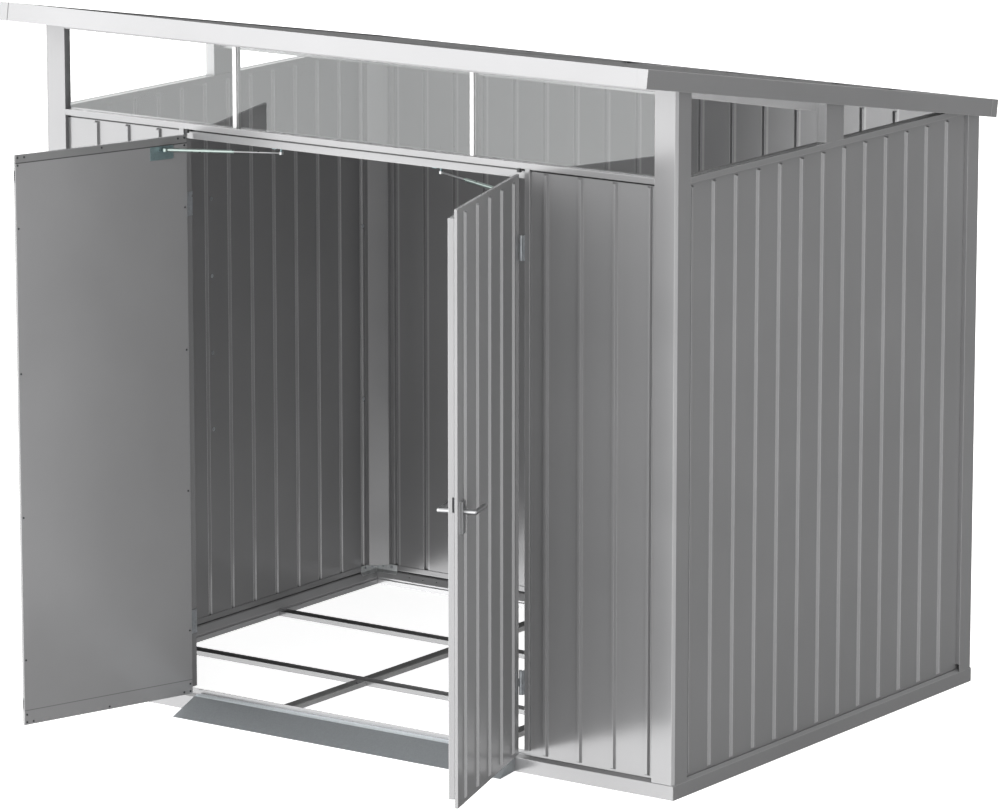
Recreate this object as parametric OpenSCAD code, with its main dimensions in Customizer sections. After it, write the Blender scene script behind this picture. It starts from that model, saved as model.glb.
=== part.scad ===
// Metal garden shed: ribbed walls, a glazed strip above them, a roof that falls
// to the back, double doors held open by stays, a low ramp and a base frame.
// Millimetres. The origin is the middle of the front base rail's underside,
// X runs along the front, Y to the back and Z up. Depth is measured behind the
// front plane of the posts, unless a comment says otherwise.

/* [Shed] */
// Width over the corner posts
shed_w = 2500; // [2300:10:3000]
// Depth over the corner posts
shed_d = 1820; // [1500:10:2400]
// Wall thickness of posts, rails and beams
frame_t = 1.5; // [1:0.1:2]
// Thickness of panels and door sheets
sheet_t = 1; // [0.8:0.1:1.2]
// Gap left between neighbouring pieces of the frame
seam = 0.3; // [0.2:0.05:0.5]

/* [Base] */
// Height of the base rails
base_h = 73; // [68:1:85]
// Depth of the base rails
base_d = 40; // [36:1:50]
// Height of the ledge that carries the panels
ledge_h = 55; // [50:1:60]
// Height of the upright skirt below the ledge
skirt_h = 46; // [40:1:48]
// Height of the lip along the rail's inner side
lip_h = 17; // [12:1:20]
// Width of the lip's top
lip_w = 6; // [4:1:8]
// Height at which the inner slope begins
slope_low = 24; // [22:1:28]
// Height at which the inner slope ends
slope_high = 50; // [45:1:51]
// Distance of the slope's upper end behind the front of the rail
slope_u = 17; // [17:0.5:20]
// Radius of the holes in the back rail's slope
vent_r = 3; // [2:0.5:4]
// Spacing of the holes in the back rail's slope
vent_pitch = 60; // [40:5:120]
// Leg length of the corner brackets
bracket_leg = 95; // [70:5:140]
// Height of the corner brackets' lower edge
bracket_low = 39; // [36:1:44]
// Thickness of the corner brackets
bracket_t = 2; // [1.5:0.1:3]
// Width of the floor channels
floor_w = 43; // [30:1:60]
// Distance of the floor struts from the middle
strut_x = 400; // [200:10:500]

/* [Ramp] */
// Width of the ramp along its upper edge
ramp_top_w = 1280; // [1000:10:1320]
// Width of the ramp along the ground
ramp_foot_w = 1324; // [1000:10:1340]
// Distance of the ramp's foot in front of the posts
ramp_reach = 105; // [80:5:200]
// Thickness of the ramp's sheet
ramp_t = 2; // [1.5:0.1:2.5]
// Distance of the ramp's bend in front of the posts
ramp_bend = 3; // [2:0.5:6]

/* [Posts] */
// Width of a post on the front
post_w = 83; // [70:1:100]
// Width of a post on the side
post_d = 78; // [70:1:100]
// Width of the slant that takes off a post's outer corner
post_cut = 8; // [3:0.5:12]
// Width of a post's narrow inner edges
post_edge = 30; // [28:1:40]
// Height of a post's foot above the skirt's top edge
post_foot = 1.8; // [1.6:0.1:4]

/* [Panels] */
// Width of a rib at its root
rib_base = 19; // [16:1:30]
// Width of a rib along its crest
rib_top = 10; // [6:1:14]
// Height of the wall panels' ribs
rib_h = 9; // [6:0.5:11]
// Length of a rib's sloping end
rib_taper = 5; // [4:1:30]
// Spacing of the ribs on the side panels
rib_pitch = 127.2; // [100:0.1:180]
// Spacing of the ribs on the front and back panels
front_pitch = 129.4; // [100:0.1:180]
// Distance of the first rib from a side panel's edge
wall_first = 20; // [12:1:40]
// Distance of the first rib from the front right or back panel's outer edge
front_first = 24; // [12:1:40]
// Distance of the first rib from the front left panel's outer edge
left_first = 123.4; // [60:0.1:150]
// Plain strip below the ribs of the panels
rib_low = 8; // [5:1:40]
// Plain strip above the ribs of the front panels
rib_high = 10; // [8:1:40]
// Plain strip above the ribs of the side and back panels
wall_rib_high = 10; // [8:1:40]

/* [Top rails] */
// Height of the front top rail's underside
head_z = 1951; // [1900:1:2050]
// Height of the front top rail
head_h = 19; // [17:1:24]
// Depth of the front top rail
head_d = 45; // [40:1:55]
// Height of the side top rails' underside
eave_z = 1951; // [1880:1:1952]
// Height of the back top rail's underside
back_z = 1932; // [1880:1:1950]
// Height of the side top rails
eave_h = 19; // [17:1:30]
// Depth of the side and back top rails
eave_d = 40; // [36:1:50]
// Distance of the glazing groove behind the outer face
groove_u = 13.5; // [13.5:0.5:24]
// Width of the glazing groove
groove_w = 5; // [4.8:0.1:7]
// Depth of the glazing groove
groove_d = 8; // [5:0.5:12]

/* [Doorway] */
// Width of the doorway between the jambs
doorway_w = 1354; // [1200:2:1500]
// Width of a jamb
jamb_w = 18; // [14:1:30]
// Depth of a jamb
jamb_d = 39; // [30:1:45]
// Distance of the jambs behind the posts' front plane
jamb_u = 6; // [5:0.5:8]
// Height of the lintel
lintel_h = 32.7; // [25:0.1:40]
// Depth of the lintel
lintel_d = 35.7; // [30:0.1:45]
// Width of a door bumper
bumper_w = 10; // [10:1:20]
// Height of a door bumper
bumper_h = 12; // [12:0.1:16.5]
// Depth of a door bumper
bumper_d = 12; // [12:1:19]
// Distance of a door bumper from the jamb
bumper_in = 13.5; // [10:0.5:40]
// Reach of a door bumper in front of the posts
bumper_out = 4; // [4:0.5:8]

/* [Roof] */
// Height of the roof's front edge
roof_z = 2341; // [2250:1:2500]
// Fall of the roof to the back, in degrees
pitch = 9.8; // [6:0.1:10]
// Overhang at the front
over_front = 196; // [100:1:300]
// Overhang at the back
over_back = 72.4; // [50:0.1:150]
// Overhang at the sides
over_side = 22.7; // [18:0.1:80]
// Height of the fascias
fascia_h = 60; // [56:1:90]
// Width of the fascias' upper flange
fascia_top = 28; // [20:1:40]
// Width of the fascias' lower flange
fascia_low = 10; // [6:1:12]
// Leg length of the corner caps
cap_leg = 35; // [30:1:50]
// Thickness of the corner caps
cap_t = 1.2; // [1:0.1:2]
// Height of the roof sheets' ribs
roof_rib_h = 10.2; // [6:0.1:15]
// Spacing of the roof sheets' ribs
roof_pitch = 200; // [150:5:300]
// Height of the front roof beam
beam_h = 55.6; // [40:0.1:70]
// Depth of the front roof beam and width of the purlin
beam_d = 40; // [36:1:60]
// Height of the purlin
purlin_h = 71; // [30:1:90]
// Height of the side roof beams
side_beam_h = 36; // [25:1:40]

/* [Glazing] */
// Thickness of the panes
pane_t = 4; // [3:0.1:4.2]
// Distance of the mullions from the middle
mullion_x = 470; // [300:5:600]
// Width of a mullion
mullion_w = 15; // [12:1:24]
// Depth of a mullion
mullion_d = 24; // [20:1:26]
// Distance of a mullion behind the front plane
mullion_u = 11; // [5:0.5:12]
// Thickness of a mullion's web
mullion_web = 3; // [2:0.5:5]
// Width of the side uprights, across the wall
upright_w = 36; // [30:1:45]
// Depth of the side uprights, along the wall
upright_d = 105; // [60:1:140]

/* [Doors] */
// Angle at which the left leaf stands open
open_left = 107; // [60:0.5:110]
// Angle at which the right leaf stands open
open_right = 108.7; // [60:0.1:110]
// Distance of the hinge axis from the jamb
hinge_in = 9; // [9:0.1:12]
// Distance of the hinge axis in front of the posts
hinge_out = 2; // [1.5:0.1:2.5]
// Gap between the two closed leaves
meeting_gap = 7; // [6:0.5:12]
// Thickness of a leaf without its ribs
leaf_t = 10; // [9.6:0.1:11]
// Distance of a leaf's outer face behind the hinge axis
leaf_v = 6; // [5.8:0.1:6.5]
// Distance of a leaf's edge from the hinge axis
leaf_u = 2; // [2:0.1:4]
// Gap below a leaf, above the ledge
leaf_low = 6; // [5:0.5:10]
// Gap above a leaf, below the front top rail
leaf_high = 17; // [16.5:0.5:25]
// Width of the folded lip inside a leaf's edges
leaf_lip = 15; // [14.5:0.5:30]
// Height of a leaf's ribs
leaf_rib_h = 8; // [5:0.5:9]
// Spacing of a leaf's ribs
leaf_pitch = 130; // [100:1:160]
// Distance of the first rib from a leaf's free edge
leaf_first = 76; // [76:1:90]
// Plain strip above and below a leaf's ribs
leaf_plain = 16; // [10:1:60]
// Radius of a rivet's head
rivet_r = 3.5; // [2.5:0.1:4.5]
// Height of a rivet's head
rivet_h = 1.2; // [0.8:0.1:2]
// Distance of the rivets from a leaf's edges
rivet_in = 9; // [7:0.5:10]
// Distance between the paired rivets at a corner
rivet_pair = 25; // [18:1:40]
// Height of the lowest single rivet above a leaf's bottom edge
rivet_low = 216; // [150:1:300]
// Spacing of the single rivets
rivet_pitch = 473; // [300:1:480]

/* [Hinges] */
// Height of the lower hinges' middle
hinge_low = 296; // [200:1:500]
// Height of the upper hinges' middle
hinge_top = 1699; // [1500:1:1750]
// Height of a hinge
hinge_h = 80; // [60:1:120]
// Radius of a hinge knuckle
knuckle_r = 5; // [4.5:0.1:5.2]
// Radius of a hinge pin
pin_r = 2.5; // [2:0.1:3]
// Gap between the knuckles of a hinge
knuckle_gap = 0.5; // [0.3:0.1:1]
// Thickness of a hinge plate
plate_t = 2.5; // [2:0.1:3]
// Length of a hinge plate inside the leaf
plate_reach = 40; // [25:1:60]
// Running clearance round pins, bolts and plugs
run_fit = 0.05; // [0.03:0.01:0.08]

/* [Lock] */
// Width of the lock stile
stile_w = 75; // [72:1:90]
// Depth of the lock stile
stile_d = 19.7; // [19:0.1:26]
// Distance of the stile's ends from the rivets that it covers
stile_end = 1; // [0.5:0.5:10]
// Distance of the lever axis from the leaf's free edge
backset = 47; // [46:0.5:50]
// Height of the lever axis
lever_z = 990; // [850:1:1100]
// Width of a handle plate
escutcheon_w = 28; // [24:1:32]
// Height of a handle plate
escutcheon_h = 102; // [90:1:130]
// Thickness of a handle plate
escutcheon_t = 7; // [5:0.5:10]
// Distance of a handle plate's top above the lever axis
escutcheon_up = 34; // [20:1:45]
// Radius of a lever's neck
neck_r = 8; // [7:0.5:9]
// Distance of a lever's grip from its plate
lever_out = 36; // [30:1:50]
// Length of a lever's grip
lever_l = 100; // [80:1:130]
// Radius of a lever's grip
grip_r = 7.5; // [6:0.5:8]
// Width of the square spindle
spindle_w = 7.5; // [6:0.1:8]
// Distance of the key plug below the lever axis
key_drop = 45; // [35:1:55]
// Radius of the key plug
plug_r = 5; // [4:0.5:6]
// Height of the lock bolt
bolt_h = 47; // [36:1:60]
// Thickness of the lock bolt
bolt_t = 6; // [5:0.1:6.5]
// Length of the lock bolt
bolt_l = 63; // [60:1:64]
// Distance of the lock bolt above the lever axis
bolt_up = 6; // [6:0.5:8]
// Distance of the resting lock bolt behind the leaf's free edge
bolt_rest = 3; // [2:0.5:4]
// Height of the lock case
case_h = 150; // [130:1:180]
// Width of the lock case
case_w = 69.7; // [69:0.1:70]
// Depth of the lock case
case_d = 15.7; // [15.5:0.1:16.5]
// Thickness of the lock case
case_t = 1.5; // [1:0.1:1.6]
// Radius at which the tumbler's pin moves the bolt
tumbler_reach = 25; // [22:0.5:26]
// Radius of the tumbler's pin
tumbler_pin_r = 3; // [2:0.1:3.5]
// Thickness of the tumbler
tumbler_t = 5; // [4:0.1:5.5]
// Turn of the levers
lever_turn = 60; // [50:1:60]

/* [Shoot bolts] */
// Radius of the shoot bolts
shoot_r = 3; // [2.5:0.05:3.05]
// Length of a shoot bolt
shoot_l = 112; // [80:1:200]
// Distance of the shoot bolts from the leaf's free edge
shoot_in = 12.5; // [11:0.1:16]
// Travel of the upper shoot bolt
shoot_rise = 32; // [28:1:33]
// Travel of the lower shoot bolt
shoot_drop = 30; // [25:1:33]
// Distance of a shoot bolt's knob from its tip
knob_in = 84; // [60:1:100]
// Radius of a knob's stem
knob_r = 2.5; // [2:0.1:3]

/* [Stays] */
// Distance of a stay's pivot along the leaf
stay_u = 101; // [90:1:130]
// Distance of a stay's pivot behind the hinge axis
stay_v = 36; // [34:1:40]
// Height of the stays
stay_z = 1897; // [1880:1:1900]
// Distance of the header anchors from the middle
anchor_x = 318; // [300:1:330]
// Distance of the header anchors behind the front plane
anchor_y = 58; // [54:1:66]
// Distance from a stay's pivot to the end of its barrel
barrel_l = 228; // [200:1:229]
// Radius of a stay's barrel
barrel_r = 6; // [5.5:0.5:10]
// Wall of a stay's barrel
barrel_t = 1; // [0.8:0.1:1.5]
// Radius of a stay's rod
rod_r = 3; // [2.5:0.1:4.2]
// Length of a stay's rod to its eye
rod_l = 190; // [189:1:200]
// Radius of a stay's eyes
eye_r = 8; // [7:0.5:9]
// Thickness of a stay's eyes
eye_t = 9; // [8.6:0.1:10]
// Radius of the pivot studs
stud_r = 4; // [3:0.1:5]
// Length of a leaf's stay bracket
mount_l = 90; // [60:1:110]
// Height of a leaf's stay bracket
mount_h = 44; // [35:1:50]

/* [Screws] */
// Radius of a screw's head
screw_r = 5; // [4:0.1:6]
// Height of a screw's head
screw_h = 2.5; // [1.5:0.1:4]
// Radius of a screw's shank
shank_r = 2.2; // [1.8:0.1:2.5]

/* [Hidden] */

steel = "#b9bcbf";
steel_dark = "#8f9498";
zinc = "#aeb9c4";
glass = "#c9d6da";
chrome = "#d5d8da";
dark = "#2c2e30";

// Cutters run this far past what they cut
over = 5;
$fn = 48;

// The leaves close with their rivets' heads one seam in front of the web
web_u = leaf_v + leaf_t - hinge_out + rivet_h + seam;
panel_u = web_u - seam - sheet_t;
ledge_u = ledge_h - skirt_h;
panel_z = ledge_h + seam;

hinge_x = doorway_w / 2 - hinge_in;
leaf_end = hinge_x - meeting_gap / 2;
leaf_w = leaf_end - leaf_u;
leaf_bottom = ledge_h + leaf_low;
leaf_top = head_z - leaf_high;
leaf_inner = leaf_v + leaf_t;
lip_v = leaf_inner - sheet_t - seam;
lintel_low = head_z - seam - lintel_h;

// Supports stop one seam below the roof sheets
roof_flat = frame_t + seam + roof_rib_h;
roof_under = roof_flat + sheet_t + seam;
roof_l = (shed_d + over_front + over_back) / cos(pitch);
roof_w = shed_w + 2 * over_side;
beam_z = under_roof(0) - beam_h;
purlin_y = (shed_d - beam_d) / 2;
upright_y = (shed_d - upright_d) / 2;
pane_u = groove_u + (groove_w - pane_t) / 2;

stud_low = stay_z + eye_t / 2 + knuckle_gap;
anchor = [hinge_x - anchor_x, anchor_y + hinge_out];

stile_u = leaf_end - stile_w;
stile_v = leaf_inner + seam;
stile_out = stile_v + stile_d;
lever_u = leaf_end - backset;
case_u = leaf_end - frame_t - seam - case_w;
bolt_v = leaf_inner + 0.5;
bolt_z = lever_z + bolt_up;
tumbler_v = bolt_v + bolt_t + 0.5;
shoot_u = leaf_end - shoot_in;
shoot_v = (leaf_v + sheet_t + lip_v - sheet_t) / 2;
shoot_y = shoot_v - hinge_out;
shoot_x = -hinge_x + shoot_u;

// Height of the supports' upper limit below the roof sheets, at a depth
function under_roof(y) =
    roof_z - (y + over_front) * tan(pitch) - roof_under / cos(pitch);

// Unit vector to the left of the way from a to b
function side(a, b) = let (d = b - a) [-d.y, d.x] / norm(d);

// Point i of an open or closed path, moved t to the left of the path
function mitred(p, i, t, closed) =
    let (n = len(p),
        m1 = i > 0 || closed ? side(p[(i + n - 1) % n], p[i]) : side(p[0], p[1]),
        m2 = i < n - 1 || closed ? side(p[i], p[(i + 1) % n]) : side(p[n - 2], p[n - 1]),
        s = m1 + m2)
    p[i] + s * (2 * t / (s * s));

function turned(p, a) = [p.x * cos(a) - p.y * sin(a), p.x * sin(a) + p.y * cos(a)];

// Way from a stay's pivot to its header anchor, seen from a leaf opened by a
function stay_span(a) = turned(anchor, a) - [stay_u, stay_v];

// Half width of a rib at a depth y behind its root, g inside its surface
function rib_half(y, h, g) =
    let (s = (rib_base - rib_top) / 2 / h) rib_base / 2 + s * y - g * sqrt(1 + s * s);
function rib_end(y, h, g) =
    let (s = rib_taper / h) s * y - g * sqrt(1 + s * s);

// A strip of sheet folded along a path, with its thickness to the left of it
module folded(p, t) {
    n = len(p);
    polygon(concat(p, [for (i = [n - 1:-1:0]) mitred(p, i, t, false)]));
}

// A closed tube round a path that runs counter-clockwise
module tube(p, t) {
    difference() {
        polygon(p);
        polygon([for (i = [0:len(p) - 1]) mitred(p, i, t, true)]);
    }
}

module placed() {
    translate([0, -base_d / 2, 0]) children();
}

module along_x(x0, x1) {
    translate([x0, 0, 0]) rotate([90, 0, 90]) linear_extrude(x1 - x0) children();
}

module along_y(y0, y1) {
    translate([0, y1, 0]) rotate([90, 0, 0]) linear_extrude(y1 - y0) children();
}

module upright(z0, z1) {
    translate([0, 0, z0]) linear_extrude(z1 - z0) children();
}

module block(a, b) {
    translate(a) cube(b - a);
}

module both() {
    children();
    mirror([1, 0, 0]) children();
}

module to_back() {
    translate([0, shed_d, 0]) mirror([0, 1, 0]) children();
}

// Puts what is drawn for the front side onto another side of the footprint
module around(turn) {
    span = turn % 180 == 0 ? shed_d : shed_w;
    translate([0, shed_d / 2, 0]) rotate(turn) translate([0, -span / 2, 0]) children();
}

module tilted() {
    translate([0, -over_front, roof_z]) rotate([-pitch, 0, 0]) children();
}

// Cuts off what would reach into the roof sheets
module below_roof() {
    difference() {
        children();
        tilted() block([-shed_w, -shed_d, -roof_under], [shed_w, 2 * shed_d, roof_z]);
    }
}

/* Base frame */

base_path = [[web_u, base_h], [web_u, ledge_h], [ledge_u, ledge_h], [0, skirt_h],
    [0, 0], [base_d, 0], [base_d, lip_h], [base_d - lip_w, lip_h],
    [base_d - lip_w, slope_low], [slope_u, slope_high]];

// A rail along the front, cut at 45 degrees at both ends
module base_rail(l) {
    half = l / 2 - seam;
    intersection() {
        along_x(-l / 2, l / 2) folded(base_path, frame_t);
        upright(-over, base_h + over)
            polygon([[-half, 0], [half, 0], [half - base_d, base_d], [base_d - half, base_d]]);
    }
}

// Places of the two screws on each end of a rail
function screw_spots(l) = [for (s = [-1, 1], k = [0.35, 0.75])
    s * (l / 2 - web_u - bracket_leg * k)];
screw_z = (ledge_h + base_h) / 2;
screw_u = web_u + frame_t + seam + bracket_t;

module screw_holes(l) {
    for (x = screw_spots(l))
        translate([x, web_u - over, screw_z]) rotate([-90, 0, 0])
            cylinder(h = bracket_t + frame_t + 2 * over, r = shank_r + run_fit);
}

module shoot_holes() {
    translate([shoot_x, shoot_y, skirt_h - over])
        cylinder(h = ledge_h - skirt_h + 2 * over, r = shoot_r + 2 * seam);
}

module base_rail_front() {
    color(steel) placed() difference() {
        base_rail(shed_w);
        screw_holes(shed_w);
        shoot_holes();
    }
}

module base_rail_back() {
    slope = [base_d - lip_w, slope_low] - [slope_u, slope_high];
    middle = [slope_u, slope_high] + slope / 2;
    count = floor((shed_w / 2 - base_d - bracket_leg) / vent_pitch);
    color(steel) placed() around(180) difference() {
        base_rail(shed_w);
        screw_holes(shed_w);
        for (i = [-count:count])
            translate([i * vent_pitch, middle.x, middle.y])
                rotate([atan2(slope.x, -slope.y) - 90, 0, 0])
                    translate([0, 0, -over]) cylinder(h = 2 * over, r = vent_r);
    }
}

module base_rail_left() {
    color(steel) placed() around(270) difference() {
        base_rail(shed_d);
        screw_holes(shed_d);
    }
}

module base_rail_right() {
    color(steel) placed() around(90) difference() {
        base_rail(shed_d);
        screw_holes(shed_d);
    }
}

// One leg of the left corner bracket, against the web and then down the slope
module bracket_leg_shape() {
    slope = [base_d - lip_w, slope_low] - [slope_u, slope_high];
    edge = [slope_u, slope_high] + seam * side([slope_u, slope_high], [base_d - lip_w, slope_low]);
    u = web_u + frame_t + seam;
    knee = [u, edge.y + slope.y * (u - edge.x) / slope.x];
    foot = [edge.x + slope.x * (bracket_low - edge.y) / slope.y, bracket_low];
    folded([[u, base_h], knee, foot], bracket_t);
}

module bracket_leg(l, end) {
    reach = base_d - web_u;
    intersection() {
        along_x(-l / 2, l / 2) bracket_leg_shape();
        upright(0, base_h + over) polygon([[-l / 2 + web_u, web_u],
            [-l / 2 + web_u + bracket_leg, web_u],
            [-l / 2 + web_u + bracket_leg, base_d], [-l / 2 + base_d, base_d]]);
    }
}

module corner_bracket() {
    difference() {
        union() {
            bracket_leg(shed_w);
            around(270) mirror([1, 0, 0]) bracket_leg(shed_d);
        }
        screw_holes(shed_w);
        around(270) screw_holes(shed_d);
    }
}

module corner_brackets() {
    color(zinc) placed() {
        both() corner_bracket();
        to_back() both() corner_bracket();
    }
}

module channel(w, h, t) {
    folded([[-w / 2, h], [-w / 2, 0], [w / 2, 0], [w / 2, h]], t);
}

module floor_beams() {
    half = shed_w / 2 - base_d - seam;
    color(steel) placed() for (i = [1, 2])
        translate([0, shed_d * i / 3, 0]) along_x(-half, half) channel(floor_w, lip_h, frame_t);
}

module floor_struts() {
    ends = [base_d, shed_d / 3 + floor_w / 2, shed_d * 2 / 3 + floor_w / 2];
    next = [shed_d / 3 - floor_w / 2, shed_d * 2 / 3 - floor_w / 2, shed_d - base_d];
    color(steel) placed() for (x = [-strut_x, strut_x], i = [0:2])
        translate([x, 0, 0]) along_y(ends[i] + seam, next[i] - seam)
            channel(floor_w, lip_h, frame_t);
}

/* Ramp: one sheet with a hook on the ledge and folded sides */

ramp_path = [[-ramp_reach, 0], [-ramp_bend, ledge_h + seam], [web_u - 3 * seam, ledge_h + seam]];

module ramp_plan(inset) {
    foot = ramp_foot_w / 2 - inset;
    top = ramp_top_w / 2 - inset;
    polygon([[-foot, -ramp_reach - over], [foot, -ramp_reach - over],
        [top, web_u], [-top, web_u]]);
}

module ramp() {
    wide = max(ramp_foot_w, ramp_top_w);
    color(zinc) placed() difference() {
        intersection() {
            union() {
                along_x(-wide, wide) folded(ramp_path, ramp_t);
                difference() {
                    along_x(-wide, wide)
                        polygon([ramp_path[0], [-seam, 0], [-seam, ledge_h + seam + ramp_t],
                            mitred(ramp_path, 1, ramp_t, false),
                            mitred(ramp_path, 0, ramp_t, false)]);
                    upright(-over, base_h) ramp_plan(ramp_t);
                }
            }
            upright(0, base_h) ramp_plan(0);
        }
        shoot_holes();
    }
}

/* Posts */

post_path = [[0, post_cut], [post_cut, 0], [post_w, 0], [post_w, post_edge],
    [post_edge, post_d], [0, post_d]];

module post() {
    color(steel) translate([-shed_w / 2, 0, 0]) below_roof() {
        upright(base_h + seam, roof_z) tube(post_path, frame_t);
        upright(skirt_h + post_foot, base_h + seam)
            folded([[0, post_d], [0, post_cut], [post_cut, 0], [post_w, 0]], frame_t);
    }
}

module post_front_left() {
    placed() post();
}

module post_front_right() {
    placed() mirror([1, 0, 0]) post();
}

// The rear posts stand mirrored, so their tops are cut in place
module rear_post() {
    color(steel) below_roof() to_back() translate([-shed_w / 2, 0, 0]) {
        upright(base_h + seam, roof_z) tube(post_path, frame_t);
        upright(skirt_h + post_foot, base_h + seam)
            folded([[0, post_d], [0, post_cut], [post_cut, 0], [post_w, 0]], frame_t);
    }
}

module post_rear_left() {
    placed() rear_post();
}

module post_rear_right() {
    placed() mirror([1, 0, 0]) rear_post();
}

/* Ribbed panels: hollow ribs stand out of a flat sheet and end in a slope */

module rib_row(l, z0, z1, spots, h, g, y) {
    crest = g - h;
    intersection() {
        upright(z0 - over, z1 + over) for (x = spots)
            polygon([[x - rib_half(y, h, g), y], [x - rib_half(crest, h, g), crest],
                [x + rib_half(crest, h, g), crest], [x + rib_half(y, h, g), y]]);
        along_x(-over, l + over)
            polygon([[y, z0 - rib_end(y, h, g)], [crest, z0 - rib_end(crest, h, g)],
                [crest, z1 + rib_end(crest, h, g)], [y, z1 + rib_end(y, h, g)]]);
    }
}

module ribbed(l, z0, z1, spots, h, low, high) {
    difference() {
        union() {
            block([0, 0, z0], [l, sheet_t, z1]);
            rib_row(l, z0 + low, z1 - high, spots, h, 0, sheet_t / 2);
        }
        rib_row(l, z0 + low, z1 - high, spots, h, sheet_t, 2 * sheet_t);
    }
}

function seen_from_end(l, spots) = [for (x = spots) l - x];
function spread(l, step) = let (n = round(l / step)) [for (i = [1:n - 1]) l * i / n];
function stepped(l, first, step) = [for (x = [first:step:l - rib_base / 2]) x];

module front_panel(first) {
    l = shed_w / 2 - post_w - doorway_w / 2 - jamb_w - 2 * seam;
    color(steel) translate([-shed_w / 2 + post_w + seam, panel_u, 0])
        ribbed(l, panel_z, head_z - seam, stepped(l, first, front_pitch), rib_h,
            rib_low, rib_high);
}

module panel_front_left() {
    placed() front_panel(left_first);
}

module panel_front_right() {
    placed() mirror([1, 0, 0]) front_panel(front_first);
}

module wall_panel(l, top, spots) {
    color(steel) translate([-l / 2, panel_u, 0])
        ribbed(l, panel_z, top, spots, rib_h, rib_low, wall_rib_high);
}

module side_panel() {
    l = shed_d - 2 * post_d - 2 * seam;
    wall_panel(l, eave_z - seam, stepped(l, wall_first, rib_pitch));
}

module panel_left() {
    placed() around(270) side_panel();
}

module panel_right() {
    placed() around(90) side_panel();
}

module panel_back() {
    l = shed_w - 2 * post_w - 2 * seam;
    placed() around(180) wall_panel(l, back_z - seam,
        seen_from_end(l, stepped(l, front_first, front_pitch)));
}

/* Doorway and top rails */

module door_jambs() {
    x = doorway_w / 2;
    color(steel) placed() both() upright(base_h + seam, head_z - seam)
        tube([[x, jamb_u], [x + jamb_w, jamb_u], [x + jamb_w, jamb_u + jamb_d],
            [x, jamb_u + jamb_d]], frame_t);
}

module door_lintel() {
    half = doorway_w / 2 - seam;
    color(steel) placed() along_x(-half, half)
        tube([[web_u, lintel_low], [web_u + lintel_d, lintel_low],
            [web_u + lintel_d, head_z - seam], [web_u, head_z - seam]], frame_t);
}

// A rail with a groove for the panes in its upper side
module grooved(z, h, d) {
    floor = z + h - groove_d;
    end = groove_u + groove_w;
    folded([[groove_u, floor], [groove_u, z + h], [0, z + h], [0, z], [d, z], [d, z + h],
        [end, z + h], [end, floor], [groove_u + seam, floor]], frame_t);
}

module front_top_rail() {
    half = shed_w / 2 - post_w - seam;
    color(steel) placed() difference() {
        along_x(-half, half) grooved(head_z, head_h, head_d);
        translate([shoot_x, shoot_y, head_z - over])
            cylinder(h = frame_t + 2 * over, r = shoot_r + 2 * seam);
    }
}

module side_top_rails() {
    half = shed_d / 2 - post_d - seam;
    color(steel) placed() below_roof() for (turn = [90, 270])
        around(turn) along_x(-half, half) grooved(eave_z, eave_h, eave_d);
}

module back_top_rail() {
    half = shed_w / 2 - post_w - seam;
    color(steel) placed() around(180) along_x(-half, half)
        tube([[0, back_z], [eave_d, back_z], [eave_d, under_roof(shed_d - eave_d)],
            [0, under_roof(shed_d)]], frame_t);
}

module door_bumpers() {
    x = doorway_w / 2 - bumper_in - bumper_w;
    color(dark) placed() both()
        block([x, -bumper_out, head_z - seam - bumper_h],
            [x + bumper_w, bumper_d - bumper_out, head_z - seam]);
}

/* Roof */

module roof_beams() {
    half = shed_w / 2 - post_w - seam;
    inner = shed_w / 2 - upright_w - seam;
    z = under_roof(purlin_y + beam_d) - purlin_h;
    color(steel) placed() {
        along_x(-half, half) tube([[0, beam_z], [beam_d, beam_z],
            [beam_d, under_roof(beam_d)], [0, under_roof(0)]], frame_t);
        along_x(-inner, inner) tube([[purlin_y, z], [purlin_y + beam_d, z],
            [purlin_y + beam_d, under_roof(purlin_y + beam_d)],
            [purlin_y, under_roof(purlin_y)]], frame_t);
        both() for (y = [[post_d, upright_y], [upright_y + upright_d, shed_d - post_d]])
            intersection() {
                tilted() along_y(0, roof_l) side_beam_shape();
                block([-shed_w, y[0] + seam, eave_z + eave_h + seam],
                    [shed_w, y[1] - seam, roof_z]);
            }
    }
}

module side_beam_shape() {
    x = shed_w / 2;
    tube([[x - eave_d, -roof_under - side_beam_h], [x, -roof_under - side_beam_h],
        [x, -roof_under], [x - eave_d, -roof_under]], frame_t);
}

module side_uprights() {
    x = shed_w / 2;
    color(steel) placed() both() below_roof() upright(eave_z + eave_h + seam, roof_z)
        tube([[x - upright_w, upright_y], [x, upright_y], [x, upright_y + upright_d],
            [x - upright_w, upright_y + upright_d]], frame_t);
}

module roof_sheets() {
    edge = frame_t + seam;
    l = roof_w / 2 - edge - seam / 2;
    color(steel_dark) placed() tilted() both() translate([seam / 2, roof_l - edge, -roof_flat])
        rotate([90, 0, 0]) mirror([0, 1, 0]) intersection() {
            ribbed(l, 0, roof_l - 2 * edge, spread(l, roof_pitch), roof_rib_h, rib_low, rib_low);
            block([0, -roof_rib_h - over, 0], [l, over, roof_l - 2 * edge]);
        }
}

module fascia_shape() {
    folded([[fascia_top, 0], [0, 0], [0, -fascia_h], [fascia_low, -fascia_h]], frame_t);
}

module fascia_front() {
    color(steel) placed() tilted() along_x(-roof_w / 2, roof_w / 2) fascia_shape();
}

module fascia_back() {
    color(steel) placed() tilted() translate([0, roof_l, 0]) mirror([0, 1, 0])
        along_x(-roof_w / 2, roof_w / 2) fascia_shape();
}

module fascia_sides() {
    y = fascia_top + seam;
    color(steel) placed() tilted() both() translate([-roof_w / 2, 0, 0])
        along_y(y, roof_l - y) fascia_shape();
}

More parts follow.
